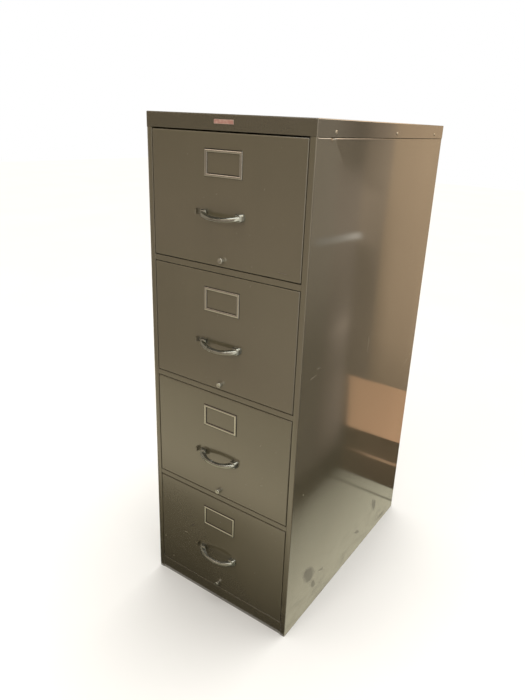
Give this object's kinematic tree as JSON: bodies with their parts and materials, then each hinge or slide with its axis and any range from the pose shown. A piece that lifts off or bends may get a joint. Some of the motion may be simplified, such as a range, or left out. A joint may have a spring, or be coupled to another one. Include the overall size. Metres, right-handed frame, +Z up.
{
  "type": "filing cabinet",
  "caption": "Tall steel filing cabinet with stacked full-extension drawers, bow handles, thumb latches, label frames, guide rods and sliding followers.",
  "frame": {"origin": "centre of the case's footprint on the floor, without handles and knobs", "axes": "+X to the cabinet's right seen from its front, +Y to its back, +Z up"},
  "size_m": [0.4672, 0.754, 1.321],
  "materials": {
    "case_paint": "glossy",
    "drawer_paint": "satin",
    "nickel": "satin",
    "runner_steel": "satin",
    "roller_steel": "satin",
    "rod_steel": "polished",
    "screw_steel": "satin",
    "name_plate": "satin"
  },
  "bodies": {
    "case": {"side_panel_right": "case_paint", "side_panel_left": "case_paint", "back_panel": "case_paint", "top_cap": "case_paint", "base_rail": "case_paint", "bottom_pan": "case_paint", "cross_rails": "case_paint", "name_plate": "name_plate", "cap_screws": "screw_steel", "case_channels": "runner_steel"},
    "drawer_1": {"drawer_1_front": "case_paint", "drawer_1_body": "drawer_paint", "drawer_1_rails": "runner_steel", "drawer_1_handle": "nickel", "drawer_1_label_frame": "nickel"},
    "drawer_1_latch": {"drawer_1_thumb_latch": "case_paint"},
    "drawer_1_rod": {"drawer_1_guide_rod": "rod_steel", "drawer_1_rod_knob": "nickel"},
    "drawer_1_follower": {"drawer_1_follower": "drawer_paint"},
    "drawer_1_slides": {"drawer_1_slide_rails": "runner_steel"},
    "drawer_1_case_rollers": {"drawer_1_case_rollers": "roller_steel"},
    "drawer_1_slide_rollers": {"drawer_1_slide_rollers": "roller_steel"},
    "drawer_2": {"drawer_2_front": "case_paint", "drawer_2_body": "drawer_paint", "drawer_2_rails": "runner_steel", "drawer_2_handle": "nickel", "drawer_2_label_frame": "nickel"},
    "drawer_2_latch": {"drawer_2_thumb_latch": "case_paint"},
    "drawer_2_rod": {"drawer_2_guide_rod": "rod_steel", "drawer_2_rod_knob": "nickel"},
    "drawer_2_follower": {"drawer_2_follower": "drawer_paint"},
    "drawer_2_slides": {"drawer_2_slide_rails": "runner_steel"},
    "drawer_2_case_rollers": {"drawer_2_case_rollers": "roller_steel"},
    "drawer_2_slide_rollers": {"drawer_2_slide_rollers": "roller_steel"},
    "drawer_3": {"drawer_3_front": "case_paint", "drawer_3_body": "drawer_paint", "drawer_3_rails": "runner_steel", "drawer_3_handle": "nickel", "drawer_3_label_frame": "nickel"},
    "drawer_3_latch": {"drawer_3_thumb_latch": "case_paint"},
    "drawer_3_rod": {"drawer_3_guide_rod": "rod_steel", "drawer_3_rod_knob": "nickel"},
    "drawer_3_follower": {"drawer_3_follower": "drawer_paint"},
    "drawer_3_slides": {"drawer_3_slide_rails": "runner_steel"},
    "drawer_3_case_rollers": {"drawer_3_case_rollers": "roller_steel"},
    "drawer_3_slide_rollers": {"drawer_3_slide_rollers": "roller_steel"},
    "drawer_4": {"drawer_4_front": "case_paint", "drawer_4_body": "drawer_paint", "drawer_4_rails": "runner_steel", "drawer_4_handle": "nickel", "drawer_4_label_frame": "nickel"},
    "drawer_4_latch": {"drawer_4_thumb_latch": "case_paint"},
    "drawer_4_rod": {"drawer_4_guide_rod": "rod_steel", "drawer_4_rod_knob": "nickel"},
    "drawer_4_follower": {"drawer_4_follower": "drawer_paint"},
    "drawer_4_slides": {"drawer_4_slide_rails": "runner_steel"},
    "drawer_4_case_rollers": {"drawer_4_case_rollers": "roller_steel"},
    "drawer_4_slide_rollers": {"drawer_4_slide_rollers": "roller_steel"}
  },
  "joints": [
    {"name": "drawer_1_slide", "type": "slide", "parent": "case", "child": "drawer_1", "axis": [0, -1, 0], "range_m": [0, 0.64]},
    {"name": "drawer_1_slides_travel", "type": "slide", "parent": "case", "child": "drawer_1_slides", "axis": [0, -1, 0], "range_m": [0, 0.32]},
    {"name": "drawer_1_case_rollers_spin", "type": "hinge", "parent": "case", "child": "drawer_1_case_rollers", "pos_m": [0, -0.315, 1.1165], "axis": [1, 0, 0], "continuous": true},
    {"name": "drawer_1_slide_rollers_spin", "type": "hinge", "parent": "drawer_1_slides", "child": "drawer_1_slide_rollers", "pos_m": [0, -0.315, 1.1165], "axis": [1, 0, 0], "continuous": true},
    {"name": "drawer_1_latch_slide", "type": "slide", "parent": "drawer_1", "child": "drawer_1_latch", "axis": [1, 0, 0], "range_m": [0, 0.006], "stiffness_N_per_m": 400, "springref_m": -0.01},
    {"name": "drawer_1_rod_slide", "type": "slide", "parent": "drawer_1", "child": "drawer_1_rod", "axis": [0, -1, 0], "range_m": [0, 0.6]},
    {"name": "drawer_1_follower_slide", "type": "slide", "parent": "drawer_1", "child": "drawer_1_follower", "axis": [0, -1, 0], "range_m": [0, 0.55]},
    {"name": "drawer_2_slide", "type": "slide", "parent": "case", "child": "drawer_2", "axis": [0, -1, 0], "range_m": [0, 0.64]},
    {"name": "drawer_2_slides_travel", "type": "slide", "parent": "case", "child": "drawer_2_slides", "axis": [0, -1, 0], "range_m": [0, 0.32]},
    {"name": "drawer_2_case_rollers_spin", "type": "hinge", "parent": "case", "child": "drawer_2_case_rollers", "pos_m": [0, -0.315, 0.801], "axis": [1, 0, 0], "continuous": true},
    {"name": "drawer_2_slide_rollers_spin", "type": "hinge", "parent": "drawer_2_slides", "child": "drawer_2_slide_rollers", "pos_m": [0, -0.315, 0.801], "axis": [1, 0, 0], "continuous": true},
    {"name": "drawer_2_latch_slide", "type": "slide", "parent": "drawer_2", "child": "drawer_2_latch", "axis": [1, 0, 0], "range_m": [0, 0.006], "stiffness_N_per_m": 400, "springref_m": -0.01},
    {"name": "drawer_2_rod_slide", "type": "slide", "parent": "drawer_2", "child": "drawer_2_rod", "axis": [0, -1, 0], "range_m": [0, 0.6]},
    {"name": "drawer_2_follower_slide", "type": "slide", "parent": "drawer_2", "child": "drawer_2_follower", "axis": [0, -1, 0], "range_m": [0, 0.55]},
    {"name": "drawer_3_slide", "type": "slide", "parent": "case", "child": "drawer_3", "axis": [0, -1, 0], "range_m": [0, 0.64]},
    {"name": "drawer_3_slides_travel", "type": "slide", "parent": "case", "child": "drawer_3_slides", "axis": [0, -1, 0], "range_m": [0, 0.32]},
    {"name": "drawer_3_case_rollers_spin", "type": "hinge", "parent": "case", "child": "drawer_3_case_rollers", "pos_m": [0, -0.315, 0.4855], "axis": [1, 0, 0], "continuous": true},
    {"name": "drawer_3_slide_rollers_spin", "type": "hinge", "parent": "drawer_3_slides", "child": "drawer_3_slide_rollers", "pos_m": [0, -0.315, 0.4855], "axis": [1, 0, 0], "continuous": true},
    {"name": "drawer_3_latch_slide", "type": "slide", "parent": "drawer_3", "child": "drawer_3_latch", "axis": [1, 0, 0], "range_m": [0, 0.006], "stiffness_N_per_m": 400, "springref_m": -0.01},
    {"name": "drawer_3_rod_slide", "type": "slide", "parent": "drawer_3", "child": "drawer_3_rod", "axis": [0, -1, 0], "range_m": [0, 0.6]},
    {"name": "drawer_3_follower_slide", "type": "slide", "parent": "drawer_3", "child": "drawer_3_follower", "axis": [0, -1, 0], "range_m": [0, 0.55]},
    {"name": "drawer_4_slide", "type": "slide", "parent": "case", "child": "drawer_4", "axis": [0, -1, 0], "range_m": [0, 0.64]},
    {"name": "drawer_4_slides_travel", "type": "slide", "parent": "case", "child": "drawer_4_slides", "axis": [0, -1, 0], "range_m": [0, 0.32]},
    {"name": "drawer_4_case_rollers_spin", "type": "hinge", "parent": "case", "child": "drawer_4_case_rollers", "pos_m": [0, -0.315, 0.17], "axis": [1, 0, 0], "continuous": true},
    {"name": "drawer_4_slide_rollers_spin", "type": "hinge", "parent": "drawer_4_slides", "child": "drawer_4_slide_rollers", "pos_m": [0, -0.315, 0.17], "axis": [1, 0, 0], "continuous": true},
    {"name": "drawer_4_latch_slide", "type": "slide", "parent": "drawer_4", "child": "drawer_4_latch", "axis": [1, 0, 0], "range_m": [0, 0.006], "stiffness_N_per_m": 400, "springref_m": -0.01},
    {"name": "drawer_4_rod_slide", "type": "slide", "parent": "drawer_4", "child": "drawer_4_rod", "axis": [0, -1, 0], "range_m": [0, 0.6]},
    {"name": "drawer_4_follower_slide", "type": "slide", "parent": "drawer_4", "child": "drawer_4_follower", "axis": [0, -1, 0], "range_m": [0, 0.55]}
  ],
  "couplings": [
    {"joint": "drawer_1_slides_travel", "follows": "drawer_1_slide", "ratio": 0.5},
    {"joint": "drawer_1_case_rollers_spin", "follows": "drawer_1_slide", "rad_per_m": 28.409},
    {"joint": "drawer_1_slide_rollers_spin", "follows": "drawer_1_slide", "rad_per_m": 34.247},
    {"joint": "drawer_2_slides_travel", "follows": "drawer_2_slide", "ratio": 0.5},
    {"joint": "drawer_2_case_rollers_spin", "follows": "drawer_2_slide", "rad_per_m": 28.409},
    {"joint": "drawer_2_slide_rollers_spin", "follows": "drawer_2_slide", "rad_per_m": 34.247},
    {"joint": "drawer_3_slides_travel", "follows": "drawer_3_slide", "ratio": 0.5},
    {"joint": "drawer_3_case_rollers_spin", "follows": "drawer_3_slide", "rad_per_m": 28.409},
    {"joint": "drawer_3_slide_rollers_spin", "follows": "drawer_3_slide", "rad_per_m": 34.247},
    {"joint": "drawer_4_slides_travel", "follows": "drawer_4_slide", "ratio": 0.5},
    {"joint": "drawer_4_case_rollers_spin", "follows": "drawer_4_slide", "rad_per_m": 28.409},
    {"joint": "drawer_4_slide_rollers_spin", "follows": "drawer_4_slide", "rad_per_m": 34.247}
  ]
}
